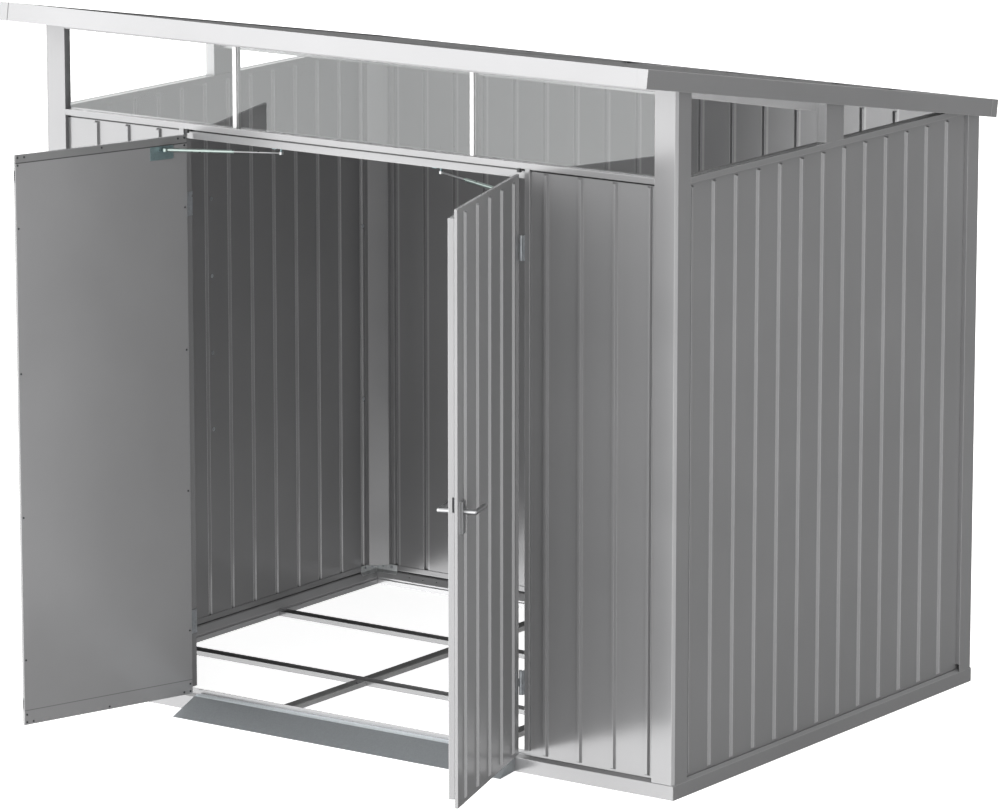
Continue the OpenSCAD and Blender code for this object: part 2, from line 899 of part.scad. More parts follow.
module fascia_caps() {
    out = -seam;
    color(steel) placed() tilted() both() for (back = [0, 1])
        translate([0, back * roof_l, 0]) mirror([0, back, 0])
            translate([-roof_w / 2, 0, 0]) upright(-fascia_h, 0)
                folded([[out, cap_leg], [out, out], [cap_leg, out]], -cap_t);
}

/* Glazing */

module mullions() {
    web = mullion_web / 2;
    slot = (groove_w - pane_t) / 4;
    color(steel) placed() both() upright(head_z + head_h + seam, beam_z - seam)
        translate([mullion_x, 0, 0]) difference() {
            translate([-mullion_w / 2, mullion_u]) square([mullion_w, mullion_d]);
            for (x = [-mullion_w - web, web])
                translate([x, pane_u - slot]) square([mullion_w, pane_t + 2 * slot]);
        }
}

module glazing_panes() {
    low = head_z + head_h - groove_d + seam;
    side_low = eave_z + eave_h - groove_d + seam;
    edge = mullion_x - mullion_web / 2 - seam;
    x = shed_w / 2 - pane_u;
    color(glass, 0.5) placed() {
        block([-edge, pane_u, low], [edge, pane_u + pane_t, beam_z - seam]);
        both() block([edge + mullion_web + 2 * seam, pane_u, low],
            [shed_w / 2 - post_w - seam, pane_u + pane_t, beam_z - seam]);
        both() for (y = [[post_d, upright_y], [upright_y + upright_d, shed_d - post_d]])
            difference() {
                block([x - pane_t, y[0] + seam, side_low], [x, y[1] - seam, roof_z]);
                tilted() block([0, -over, -roof_under - side_beam_h - seam],
                    [shed_w, roof_l, roof_z]);
            }
    }
}

/* Doors: a leaf lies along X from its hinge axis, with its inner face to the back */

module hung_left() {
    placed() translate([-hinge_x, -hinge_out, 0]) rotate(-open_left) children();
}

module hung_right() {
    placed() mirror([1, 0, 0]) translate([-hinge_x, -hinge_out, 0])
        rotate(-open_right) children();
}

// Two rivets of each edge share a corner, the others stand evenly between
rivet_spots = concat(
    [for (u = [leaf_u + rivet_in, leaf_end - rivet_in],
        z = concat([leaf_bottom + rivet_in, leaf_top - rivet_in,
            leaf_bottom + rivet_in + rivet_pair, leaf_top - rivet_in - rivet_pair],
            [for (i = [0:3]) leaf_bottom + rivet_low + i * rivet_pitch])) [u, z]],
    [for (u = [leaf_u + rivet_in + rivet_pair, leaf_u + leaf_w / 2,
        leaf_end - rivet_in - rivet_pair],
        z = [leaf_bottom + rivet_in, leaf_top - rivet_in]) [u, z]]);
rivet_shank = rivet_r / 2;

module rivet_holes() {
    for (p = rivet_spots)
        translate([p.x, lip_v - sheet_t - over, p.y]) rotate([-90, 0, 0])
            cylinder(h = leaf_t + over, r = rivet_shank + run_fit);
}

module hinge_spots() {
    for (z = [hinge_low, hinge_top])
        translate([0, 0, z]) children();
}

hinge_plate_v = (leaf_v + sheet_t + lip_v - sheet_t - plate_t) / 2;

// The outer sheet with its folded edges and their inner lips
module leaf_skin() {
    spots = seen_from_end(leaf_w, stepped(leaf_w, leaf_first, leaf_pitch));
    difference() {
        union() {
            translate([leaf_u, leaf_v, 0])
                ribbed(leaf_w, leaf_bottom, leaf_top, spots, leaf_rib_h, leaf_plain, leaf_plain);
            difference() {
                block([leaf_u, leaf_v, leaf_bottom], [leaf_end, lip_v, leaf_top]);
                block([leaf_u + sheet_t, leaf_v - over, leaf_bottom + sheet_t],
                    [leaf_end - sheet_t, lip_v - sheet_t, leaf_top - sheet_t]);
                block([leaf_u + leaf_lip, leaf_v - over, leaf_bottom + leaf_lip],
                    [leaf_end - leaf_lip, lip_v + over, leaf_top - leaf_lip]);
            }
        }
        rivet_holes();
        hinge_spots() block([leaf_u - over, hinge_plate_v - seam, -hinge_h / 2 - seam],
            [leaf_u + sheet_t + over, hinge_plate_v + plate_t + seam, hinge_h / 2 + seam]);
    }
}

module leaf_liner() {
    difference() {
        block([leaf_u, leaf_inner - sheet_t, leaf_bottom], [leaf_end, leaf_inner, leaf_top]);
        rivet_holes();
    }
}

module leaf_rivets() {
    for (p = rivet_spots)
        translate([p.x, leaf_inner, p.y]) rotate([-90, 0, 0]) {
            cylinder(h = rivet_h, r1 = rivet_r, r2 = rivet_r - rivet_h / 2);
            translate([0, 0, lip_v - leaf_inner - sheet_t / 2])
                cylinder(h = leaf_inner - lip_v + sheet_t / 2, r = rivet_shank);
        }
}

knuckle_h = (hinge_h - 2 * knuckle_gap) / 3;

module knuckle(z0, z1) {
    translate([0, 0, z0]) cylinder(h = z1 - z0, r = knuckle_r);
}

module pin_hole(h) {
    translate([0, 0, -h / 2 - over]) cylinder(h = h + 2 * over, r = pin_r + run_fit);
}

module leaf_hinge_plates() {
    half = plate_t / 2;
    end = hinge_plate_v + plate_t;
    hinge_spots() difference() {
        union() {
            knuckle(-knuckle_h / 2, knuckle_h / 2);
            block([-half, 0, -knuckle_h / 2], [half, end, knuckle_h / 2]);
            block([-half, hinge_plate_v, -hinge_h / 2], [plate_reach, end, hinge_h / 2]);
        }
        pin_hole(knuckle_h);
    }
}

// Fixed halves of the hinges, on the jambs' inner sides
module hinge_jamb_plates() {
    u = seam - hinge_in;
    half = plate_t / 2;
    color(zinc) placed() both() translate([-hinge_x, -hinge_out, 0]) hinge_spots() difference() {
        union() {
            for (s = [0, 1]) mirror([0, 0, s]) {
                knuckle(knuckle_h / 2 + knuckle_gap, hinge_h / 2);
                block([u, -half, knuckle_h / 2 + knuckle_gap], [0, half, hinge_h / 2]);
            }
            block([u, -half, -hinge_h / 2],
                [u + plate_t, jamb_u + jamb_d + hinge_out, hinge_h / 2]);
        }
        pin_hole(hinge_h);
    }
}

module hinge_pins() {
    head = plate_t / 2;
    color(chrome) placed() both() translate([-hinge_x, -hinge_out, 0]) hinge_spots() {
        translate([0, 0, -hinge_h / 2]) cylinder(h = hinge_h + head, r = pin_r);
        translate([0, 0, hinge_h / 2 + seam]) cylinder(h = head, r = knuckle_r - 1);
    }
}

// Slot for a shoot bolt's knob in the leaf's free edge
module knob_slot(low, high) {
    block([leaf_end - sheet_t - over, shoot_v - knob_r - seam, low - knob_r - seam],
        [leaf_end + over, shoot_v + knob_r + seam, high + knob_r + seam]);
}

top_tip = leaf_top - sheet_t;
bottom_tip = leaf_bottom + sheet_t;
// The guides are beyond the knobs' travel, towards the leaf's ends
guide_w = 2 * shoot_r + 4;
guide_h = 2 * shoot_r + 4;

module shoot_guide(z) {
    block([shoot_u - guide_w / 2, leaf_v + sheet_t / 2, z],
        [shoot_u + guide_w / 2, lip_v - sheet_t / 2, z + guide_h]);
}

module leaf_left_skin() {
    color(steel) hung_left() difference() {
        union() {
            leaf_skin();
            shoot_guide(top_tip - knob_in + shoot_rise + knob_r + 2 * seam);
            shoot_guide(bottom_tip + knob_in - shoot_drop - knob_r - 2 * seam - guide_h);
        }
        rivet_holes();
        for (z = [leaf_bottom - over, leaf_top - shoot_l - over])
            translate([shoot_u, shoot_v, z]) cylinder(h = shoot_l + 2 * over, r = shoot_r + run_fit);
        knob_slot(top_tip - knob_in, top_tip - knob_in + shoot_rise);
        knob_slot(bottom_tip + knob_in - shoot_drop, bottom_tip + knob_in);
    }
}

module leaf_left_liner() {
    color(steel) hung_left() leaf_liner();
}

module leaf_left_hinge_plates() {
    color(zinc) hung_left() leaf_hinge_plates();
}

module leaf_left_rivets() {
    color(chrome) hung_left() leaf_rivets();
}

module leaf_left_stay_bracket() {
    color(zinc) hung_left() stay_bracket();
}

module spindle_hole(v0, v1) {
    translate([lever_u, v0, lever_z]) rotate([-90, 0, 0])
        cylinder(h = v1 - v0, r = spindle_w * 0.8);
}

module leaf_right_skin() {
    color(steel) hung_right() difference() {
        leaf_skin();
        spindle_hole(leaf_v - over, leaf_v + over);
    }
}

module leaf_right_liner() {
    color(steel) hung_right() difference() {
        leaf_liner();
        spindle_hole(leaf_inner - over, leaf_inner + over);
    }
}

// A channel along the free edge, open towards the liner, with closed ends
module leaf_right_stile() {
    end = rivet_in + rivet_pair - rivet_r - stile_end - frame_t;
    low = leaf_bottom + end;
    high = leaf_top - end;
    color(steel) hung_right() difference() {
        block([stile_u, stile_v, low], [leaf_end, stile_out, high]);
        block([stile_u + frame_t, stile_v - over, low + frame_t],
            [leaf_end - frame_t, stile_out - frame_t, high - frame_t]);
        spindle_hole(stile_out - over, stile_out + over);
        bolt_window(leaf_end - over, leaf_end + over);
    }
}

module bolt_window(u0, u1) {
    block([u0, leaf_inner, bolt_z - seam], [u1, bolt_v + bolt_t + seam, bolt_z + bolt_h + seam]);
}

module leaf_right_hinge_plates() {
    color(zinc) hung_right() leaf_hinge_plates();
}

module leaf_right_rivets() {
    color(chrome) hung_right() leaf_rivets();
}

module leaf_right_stay_bracket() {
    color(zinc) hung_right() stay_bracket();
}

/* Lock */

case_z = lever_z - case_h * 0.4;

// A tray that opens towards the liner, with a guide above and below the bolt
module lock_case() {
    out = stile_v + case_d;
    end = case_u + case_w;
    color(steel_dark) hung_right() difference() {
        union() {
            difference() {
                block([case_u, stile_v, case_z], [end, out, case_z + case_h]);
                block([case_u + case_t, stile_v - over, case_z + case_t],
                    [end - case_t, out - case_t, case_z + case_h - case_t]);
            }
            block([case_u, stile_v, bolt_z + bolt_h + seam],
                [end, out, bolt_z + bolt_h + seam + case_t]);
            block([lever_u + spindle_w + over, stile_v, bolt_z - seam - case_t],
                [end, out, bolt_z - seam]);
        }
        spindle_hole(out - over, out + over);
        bolt_window(end - over, end + over);
    }
}

module plate_shape(v) {
    block([lever_u - escutcheon_w / 2, v, lever_z + escutcheon_up - escutcheon_h],
        [lever_u + escutcheon_w / 2, v + escutcheon_t, lever_z + escutcheon_up]);
}

outer_plate_v = leaf_v - seam - escutcheon_t;
inner_plate_v = stile_out + seam;

module across(v, z, l, r) {
    translate([lever_u, v, z]) rotate([-90, 0, 0]) cylinder(h = l, r = r);
}

module handle_plates() {
    color(chrome) hung_right() difference() {
        union() {
            plate_shape(outer_plate_v);
            plate_shape(inner_plate_v);
        }
        for (v = [outer_plate_v, inner_plate_v])
            across(v - over, lever_z, escutcheon_t + 2 * over, neck_r + run_fit);
        across(outer_plate_v - over, lever_z - key_drop, escutcheon_t + 2 * over,
            plug_r + run_fit);
    }
}

module square_bar(v0, v1, w) {
    block([lever_u - w / 2, v0, lever_z - w / 2], [lever_u + w / 2, v1, lever_z + w / 2]);
}

// A round neck turns in the plate and the grip points to the hinges
module lever(v, out) {
    reach = lever_out + escutcheon_t;
    translate([0, v, 0]) mirror([0, out, 0]) translate([0, -v, 0]) {
        difference() {
            union() {
                across(v, lever_z, reach, neck_r);
                translate([lever_u, v + reach, lever_z]) sphere(neck_r);
                translate([lever_u, v + reach, lever_z]) rotate([0, -90, 0])
                    cylinder(h = lever_l - grip_r, r = grip_r);
                translate([lever_u - lever_l + grip_r, v + reach, lever_z]) sphere(grip_r);
            }
            square_bar(v - over, v + reach - neck_r, spindle_w + 2 * run_fit);
        }
    }
}

module levers() {
    color(chrome) hung_right() {
        lever(leaf_v - seam, 1);
        lever(inner_plate_v, 0);
    }
}

module spindle() {
    rim = neck_r + 1;
    color(steel_dark) hung_right()
        square_bar(outer_plate_v - lever_out + rim, inner_plate_v + lever_out - rim, spindle_w);
}

module tumbler() {
    start = lever_turn / 2;
    hub = spindle_w * 1.1;
    color(steel_dark) hung_right() difference() {
        union() {
            across(tumbler_v, lever_z, tumbler_t, hub);
            translate([lever_u, 0, lever_z]) rotate([0, -start, 0]) {
                block([-tumbler_pin_r - 1, tumbler_v, 0],
                    [tumbler_pin_r + 1, tumbler_v + tumbler_t, tumbler_reach + tumbler_pin_r + 1]);
                translate([0, bolt_v + 0.5, tumbler_reach]) rotate([-90, 0, 0])
                    cylinder(h = bolt_t + tumbler_t, r = tumbler_pin_r);
            }
        }
        square_bar(tumbler_v - over, tumbler_v + tumbler_t + over, spindle_w + 2 * run_fit);
    }
}

module lock_bolt() {
    end = leaf_end - bolt_rest;
    pin_u = lever_u - tumbler_reach * sin(lever_turn / 2);
    slot = tumbler_pin_r + 0.5;
    color(steel_dark) hung_right() difference() {
        block([end - bolt_l, bolt_v, bolt_z], [end, bolt_v + bolt_t, bolt_z + bolt_h]);
        block([pin_u - slot, bolt_v - over, bolt_z - over],
            [pin_u + slot, bolt_v + bolt_t + over, lever_z + tumbler_reach + slot]);
    }
}

module key_plug() {
    z = lever_z - key_drop;
    color(chrome) hung_right() difference() {
        across(outer_plate_v - 1, z, escutcheon_t + 1 - seam, plug_r);
        block([lever_u - 0.8, outer_plate_v - over, z - plug_r / 2],
            [lever_u + 0.8, outer_plate_v + 2, z + plug_r / 2]);
    }
}

/* Shoot bolts of the left leaf */

module shoot_bolt(z0, knob_z) {
    translate([shoot_u, shoot_v, z0]) cylinder(h = shoot_l, r = shoot_r);
    translate([shoot_u, shoot_v, knob_z]) rotate([0, 90, 0])
        cylinder(h = shoot_in + meeting_gap / 4, r = knob_r);
}

module shoot_bolt_top() {
    color(steel_dark) hung_left() shoot_bolt(top_tip - shoot_l, top_tip - knob_in);
}

module shoot_bolt_bottom() {
    color(steel_dark) hung_left() shoot_bolt(bottom_tip, bottom_tip + knob_in);
}

/* Stays: a barrel turns on the leaf and its rod ends below an anchor on the lintel */

shelf_z = stay_z - eye_t / 2 - seam;

module stay_bracket() {
    start = stay_u - mount_l / 2;
    back = leaf_inner + seam;
    top = stay_z + eye_t / 2 + over;
    block([start, back, top - mount_h], [start + mount_l, back + bracket_t, top]);
    block([stay_u - eye_r, back, shelf_z - bracket_t],
        [stay_u + eye_r, stay_v + eye_r, shelf_z]);
    translate([stay_u, stay_v, shelf_z - bracket_t / 2])
        cylinder(h = eye_t + bracket_t / 2 + seam + 1, r = stud_r);
}

module stay_header_brackets() {
    plate_top = lintel_low - seam;
    plate_low = plate_top - plate_t;
    front = web_u + over;
    color(zinc) placed() both() {
        block([anchor_x - eye_r, front, plate_low], [anchor_x + eye_r, anchor_y + eye_r, plate_top]);
        translate([anchor_x, anchor_y, stud_low])
            cylinder(h = plate_low - stud_low + plate_t / 2, r = stud_r);
    }
}

barrel_start = eye_r + 4;
bore_r = barrel_r - barrel_t;

// The barrel lies along X from the leaf's pivot
module stay_cylinder() {
    difference() {
        union() {
            translate([0, 0, -eye_t / 2]) cylinder(h = eye_t, r = eye_r);
            rotate([0, 90, 0]) cylinder(h = barrel_start + 2, r = rod_r);
            rotate([0, 90, 0]) rotate_extrude()
                polygon([[0, barrel_start], [barrel_r, barrel_start], [barrel_r, barrel_l],
                    [rod_r + run_fit, barrel_l], [rod_r + run_fit, barrel_l - eye_r],
                    [bore_r, barrel_l - eye_r], [bore_r, barrel_start + eye_r],
                    [0, barrel_start + eye_r]]);
        }
        translate([0, 0, -eye_t]) cylinder(h = 2 * eye_t, r = stud_r + run_fit);
    }
}

// The rod's eye is at the end of the span, its piston inside the barrel
module stay_rod(span) {
    piston = bore_r - run_fit;
    piston_l = 1.5 * eye_r;
    end = rod_l - stud_r - 1;
    translate([span, 0, 0]) difference() {
        union() {
            translate([0, 0, -eye_t / 2]) cylinder(h = eye_t, r = eye_r);
            translate([-rod_l, 0, 0]) rotate([0, 90, 0]) rotate_extrude()
                polygon([[0, 0], [piston, 0], [piston, piston_l], [rod_r, piston_l],
                    [rod_r, end], [0, end]]);
        }
        translate([0, 0, -eye_t]) cylinder(h = 2 * eye_t, r = stud_r + run_fit);
    }
}

module stay_line(a) {
    span = stay_span(a);
    translate([stay_u, stay_v, stay_z]) rotate(atan2(span.y, span.x)) children();
}

module stay_cylinder_left() {
    color(zinc) hung_left() stay_line(open_left) stay_cylinder();
}

module stay_cylinder_right() {
    color(zinc) hung_right() stay_line(open_right) stay_cylinder();
}

module stay_rod_left() {
    color(chrome) hung_left() stay_line(open_left) stay_rod(norm(stay_span(open_left)));
}

module stay_rod_right() {
    color(chrome) hung_right() stay_line(open_right) stay_rod(norm(stay_span(open_right)));
}

/* Screws through the corner brackets and the base rails' webs */

module frame_screws() {
    color(chrome) placed() for (turn = [0, 90, 180, 270])
        around(turn) for (x = screw_spots(turn % 180 == 0 ? shed_w : shed_d))
            translate([x, screw_u + seam, screw_z]) rotate([-90, 0, 0]) {
                cylinder(h = screw_h, r1 = screw_r, r2 = screw_r - screw_h / 3);
                translate([0, 0, -bracket_t - frame_t - 2 * seam])
                    cylinder(h = bracket_t + frame_t + 3 * seam, r = shank_r);
            }
}

base_rail_front();
base_rail_back();
base_rail_left();
base_rail_right();
corner_brackets();
floor_beams();
floor_struts();
ramp();
post_front_left();
post_front_right();
post_rear_left();
post_rear_right();
panel_front_left();
panel_front_right();
panel_left();
panel_right();
panel_back();
door_jambs();
door_lintel();
front_top_rail();
side_top_rails();
back_top_rail();
roof_beams();
side_uprights();
mullions();
glazing_panes();
roof_sheets();
fascia_front();
fascia_back();
fascia_sides();
fascia_caps();
hinge_jamb_plates();
hinge_pins();
stay_header_brackets();
frame_screws();
door_bumpers();
leaf_left_skin();
leaf_left_liner();
leaf_left_hinge_plates();
leaf_left_rivets();
leaf_left_stay_bracket();
leaf_right_skin();
leaf_right_liner();
leaf_right_stile();
leaf_right_hinge_plates();
leaf_right_rivets();
leaf_right_stay_bracket();
lock_case();
handle_plates();
levers();
spindle();
tumbler();
lock_bolt();
key_plug();
shoot_bolt_top();
shoot_bolt_bottom();
stay_cylinder_left();
stay_cylinder_right();
stay_rod_left();
stay_rod_right();
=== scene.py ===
import bpy, bmesh, math
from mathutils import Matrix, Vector


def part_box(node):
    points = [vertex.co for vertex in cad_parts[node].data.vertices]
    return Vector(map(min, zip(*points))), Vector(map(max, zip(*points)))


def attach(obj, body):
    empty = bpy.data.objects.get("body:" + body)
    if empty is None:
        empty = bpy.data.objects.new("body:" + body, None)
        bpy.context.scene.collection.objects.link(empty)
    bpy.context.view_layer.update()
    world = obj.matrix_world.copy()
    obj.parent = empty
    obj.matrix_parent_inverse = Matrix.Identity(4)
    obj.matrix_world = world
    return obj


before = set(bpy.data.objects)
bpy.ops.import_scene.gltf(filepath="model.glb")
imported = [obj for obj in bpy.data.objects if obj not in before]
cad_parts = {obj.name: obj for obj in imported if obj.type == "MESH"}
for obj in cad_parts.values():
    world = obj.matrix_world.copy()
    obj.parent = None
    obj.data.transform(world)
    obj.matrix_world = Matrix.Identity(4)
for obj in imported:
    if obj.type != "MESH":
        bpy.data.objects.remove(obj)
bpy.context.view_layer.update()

# Base frame. Four rails of galvanised sheet, roll-formed and coated silver, with a
# skirt outside, a ledge for the wall sheets and a slope inside. They are mitred and
# screwed together at the corners, and two channels cross three others on the ground.


def shader_nodes(name):
    finish = bpy.data.materials.new(name)
    finish.use_nodes = True
    tree = finish.node_tree
    return finish, tree, tree.nodes["Principled BSDF"]


def noise(tree, coords, scale, detail, stretch=None):
    tex = tree.nodes.new("ShaderNodeTexNoise")
    tex.inputs["Scale"].default_value = scale
    tex.inputs["Detail"].default_value = detail
    if stretch:
        mapping = tree.nodes.new("ShaderNodeMapping")
        mapping.inputs["Scale"].default_value = stretch
        tree.links.new(coords, mapping.inputs["Vector"])
        coords = mapping.outputs["Vector"]
    tree.links.new(coords, tex.inputs["Vector"])
    return tex.outputs["Fac"]


def spread_over(tree, fac, low, high, start=0.3, end=0.7):
    span = tree.nodes.new("ShaderNodeMapRange")
    span.inputs["From Min"].default_value = start
    span.inputs["From Max"].default_value = end
    span.inputs["To Min"].default_value = low
    span.inputs["To Max"].default_value = high
    tree.links.new(fac, span.inputs["Value"])
    return span.outputs["Result"]


def ramp_between(tree, fac, dark, light, start=0.3, end=0.7):
    ramp = tree.nodes.new("ShaderNodeValToRGB")
    ramp.color_ramp.elements[0].position = start
    ramp.color_ramp.elements[0].color = (*dark, 1)
    ramp.color_ramp.elements[1].position = end
    ramp.color_ramp.elements[1].color = (*light, 1)
    tree.links.new(fac, ramp.inputs["Fac"])
    return ramp.outputs["Color"]


BEND_SAMPLES = 6


def bumped(tree, shader, height, strength, distance, fold=0.0):
    """Uneven surface; a fold radius also rounds the sheet's bends in the light."""
    bump = tree.nodes.new("ShaderNodeBump")
    if fold:
        bend = tree.nodes.new("ShaderNodeBevel")
        bend.samples = BEND_SAMPLES
        bend.inputs["Radius"].default_value = fold
        tree.links.new(bend.outputs["Normal"], bump.inputs["Normal"])
    bump.inputs["Strength"].default_value = strength
    bump.inputs["Distance"].default_value = distance
    tree.links.new(height, bump.inputs["Height"])
    tree.links.new(bump.outputs["Normal"], shader.inputs["Normal"])


def fold_highlights(tree, colour, radius, gain):
    """Painted highlight: the colour is made lighter along the sheet's bends."""
    bend = tree.nodes.new("ShaderNodeBevel")
    bend.samples = BEND_SAMPLES
    bend.inputs["Radius"].default_value = radius
    flat = tree.nodes.new("ShaderNodeNewGeometry")
    turn = tree.nodes.new("ShaderNodeVectorMath")
    turn.operation = "DOT_PRODUCT"
    tree.links.new(bend.outputs["Normal"], turn.inputs[0])
    tree.links.new(flat.outputs["Normal"], turn.inputs[1])
    lighter = tree.nodes.new("ShaderNodeVectorMath")
    lighter.operation = "SCALE"
    tree.links.new(colour, lighter.inputs[0])
    tree.links.new(spread_over(tree, turn.outputs["Value"], gain, 1.0, 0.94, 1.0),
                   lighter.inputs["Scale"])
    return lighter.outputs["Vector"]


MARK_EDGE = 0.0006  # a band fades out over this length


def marked(tree, colour, coords, marks):
    """Bands of painted light and shade (axis, middle, half width, factor, pitch) scale the
    colour.

    A pitch of 0 means one band, any other repeats it along the axis.
    """
    split = tree.nodes.new("ShaderNodeSeparateXYZ")
    tree.links.new(coords, split.inputs["Vector"])
    for axis, middle, half, factor, pitch in marks:
        off = tree.nodes.new("ShaderNodeMath")
        off.operation = "SUBTRACT"
        off.inputs[1].default_value = middle
        tree.links.new(split.outputs[axis], off.inputs[0])
        place = off.outputs["Value"]
        if pitch:
            again = tree.nodes.new("ShaderNodeMath")
            again.operation = "WRAP"
            again.inputs[1].default_value = pitch / 2
            again.inputs[2].default_value = -pitch / 2
            tree.links.new(place, again.inputs[0])
            place = again.outputs["Value"]
        away = tree.nodes.new("ShaderNodeMath")
        away.operation = "ABSOLUTE"
        tree.links.new(place, away.inputs[0])
        shade = tree.nodes.new("ShaderNodeVectorMath")
        shade.operation = "SCALE"
        tree.links.new(colour, shade.inputs[0])
        fade = spread_over(tree, away.outputs["Value"], factor, 1.0, half, half + MARK_EDGE)
        tree.links.new(fade, shade.inputs["Scale"])
        colour = shade.outputs["Vector"]
    return colour


FLAKE_SCALE, FLAKE_SHARE = 1400, 0.35
DRIFT_SCALE, SMUDGE_SCALE, WAVE_SCALE = 2.2, 9, 3.5
WAVE_STRENGTH, WAVE_HEIGHT = 0.5, 0.0004
# Width over which the painted highlight along the bends fades in.
FOLD_HIGHLIGHT_RADIUS = 0.003


def coated_sheet(name, tone, rough, marks=(), fold=0.0025, fold_highlight_gain=1.4):
    """Silver coil coating: fine metal flakes in a satin film over slightly uneven sheet."""
    finish, tree, shader = shader_nodes(name)
    coords = tree.nodes.new("ShaderNodeTexCoord").outputs["Object"]
    flakes = noise(tree, coords, FLAKE_SCALE, 1)
    drift = noise(tree, coords, DRIFT_SCALE, 3)
    mix = tree.nodes.new("ShaderNodeMath")
    mix.operation = "MULTIPLY_ADD"
    mix.inputs[1].default_value = FLAKE_SHARE
    tree.links.new(flakes, mix.inputs[0])
    tree.links.new(spread_over(tree, drift, 0.2, 0.45), mix.inputs[2])
    colour = ramp_between(tree, mix.outputs["Value"], tuple(c * 0.94 for c in tone),
                          tuple(c * 1.06 for c in tone))
    # Painted highlight: the colour is lighter along the sheet's bends.
    colour = fold_highlights(tree, colour, FOLD_HIGHLIGHT_RADIUS, fold_highlight_gain)
    tree.links.new(marked(tree, colour, coords, marks), shader.inputs["Base Color"])
    smudges = noise(tree, coords, SMUDGE_SCALE, 4)
    tree.links.new(spread_over(tree, smudges, rough * 0.92, rough * 1.08),
                   shader.inputs["Roughness"])
    waves = noise(tree, coords, WAVE_SCALE, 1)
    bumped(tree, shader, waves, WAVE_STRENGTH, WAVE_HEIGHT, fold)
    shader.inputs["Metallic"].default_value = 0.4
    return finish


def dress(finish, *nodes):
    for node in nodes:
        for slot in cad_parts[node].material_slots:
            slot.material = finish


silver_tone, silver_rough = (0.25, 0.25, 0.253), 0.21
silver = coated_sheet("silver_coat", silver_tone, silver_rough)
# Painted light: the inner slopes of the back and left rails are painted lighter.
slope_middle, slope_half = 0.008, 0.012
back_slope_light = ("Y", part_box("base_rail_back")[0].y + slope_middle, slope_half, 2.0, 0)
left_slope_light = ("X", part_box("base_rail_left")[1].x - slope_middle, slope_half, 1.6, 0)
dress(silver, "base_rail_front", "base_rail_right", "floor_beams")
dress(coated_sheet("back_rail_coat", silver_tone, silver_rough, [back_slope_light]),
      "base_rail_back")
dress(coated_sheet("left_rail_coat", silver_tone, silver_rough, [left_slope_light]),
      "base_rail_left")
dress(coated_sheet("channel_coat", (0.42, 0.42, 0.42), rough=0.3), "floor_struts")

# Corner brackets. Galvanised angles that lie on the rails' webs and slopes, each held
# by four screws. The screws and the hinge plates have a duller, bluish zinc.


def galvanised(name, tone, rough, spangle, depth=0.18, marks=()):
    finish, tree, shader = shader_nodes(name)
    coords = tree.nodes.new("ShaderNodeTexCoord").outputs["Object"]
    cells = tree.nodes.new("ShaderNodeTexVoronoi")
    cells.inputs["Scale"].default_value = spangle
    tree.links.new(coords, cells.inputs["Vector"])
    grey = tree.nodes.new("ShaderNodeRGBToBW")
    tree.links.new(cells.outputs["Color"], grey.inputs["Color"])
    dark = tuple(c * (1 - depth) for c in tone)
    light = tuple(min(1, c * (1 + depth)) for c in tone)
    colour = ramp_between(tree, grey.outputs["Val"], dark, light, 0.1, 0.9)
    tree.links.new(marked(tree, colour, coords, marks), shader.inputs["Base Color"])
    tree.links.new(spread_over(tree, grey.outputs["Val"], rough * (1 - depth),
                               rough * (1 + depth), 0, 1), shader.inputs["Roughness"])
    bumped(tree, shader, noise(tree, coords, 60, 3), 0.3, 0.0001)
    shader.inputs["Metallic"].default_value = 0.6
    return finish


zinc = galvanised("galvanised_zinc", (0.36, 0.38, 0.4), rough=0.32, spangle=120)
dress(zinc, "frame_screws", "hinge_jamb_plates", "leaf_left_hinge_plates",
      "leaf_right_hinge_plates")
dress(galvanised("bracket_zinc", (0.56, 0.575, 0.58), rough=0.34, spangle=120, depth=0.12),
      "corner_brackets")

# Ramp. One sheet of bare galvanised steel with closed sides, hooked on the front
# ledge and resting on the ground.
# Painted highlight: a bright band along the ramp's top edge.
ramp_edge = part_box("ramp")[1].z
ramp_edge_highlight = ("Z", ramp_edge, 0.0035, 2.6, 0)
ramp_zinc = galvanised("ramp_zinc", (0.33, 0.35, 0.365), rough=0.34, spangle=260,
                       depth=0.05, marks=[ramp_edge_highlight])
dress(ramp_zinc, "ramp")

# Corner posts. Roll-formed tubes with five sides, coated silver, standing on the base
# rails and reaching down over them.
dress(silver, "post_front_left", "post_front_right", "post_rear_left", "post_rear_right")

# Wall sheets. Thin silver sheet with narrow hollow ribs pressed outwards, standing on the
# base ledge between the posts. Painted light fills the left wall's ribs and painted
# highlights lie beside the back wall's, and a painted shadow line lies between the front
# sheets and the top rail.
side_first, side_pitch, rib_half = 0.02, 0.1272, 0.0095
back_first, back_pitch, glint_half = 0.037, 0.1294, 0.0035
rail_shadow_below, rail_shadow_half = 0.0062, 0.002
# Painted light in the left wall's ribs and painted highlights beside the back wall's ribs.
left_rib_light = ("Y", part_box("panel_left")[1].y - side_first, rib_half, 1.4, side_pitch)
back_rib_highlights = ("X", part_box("panel_back")[0].x + back_first, glint_half, 1.5, back_pitch)
# Painted shadow: a dark line on the front sheets just under the top rail.
rail_shadow_line = [("Z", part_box("panel_front_left")[1].z - rail_shadow_below, rail_shadow_half, 0.08, 0)]
dress(silver, "panel_right")
dress(coated_sheet("left_wall_coat", silver_tone, silver_rough, [left_rib_light]), "panel_left")
dress(coated_sheet("back_wall_coat", silver_tone, silver_rough, [back_rib_highlights]), "panel_back")
dress(coated_sheet("front_wall_coat", silver_tone, 0.2, rail_shadow_line, fold=0.0012, fold_highlight_gain=1.0),
      "panel_front_left", "panel_front_right")

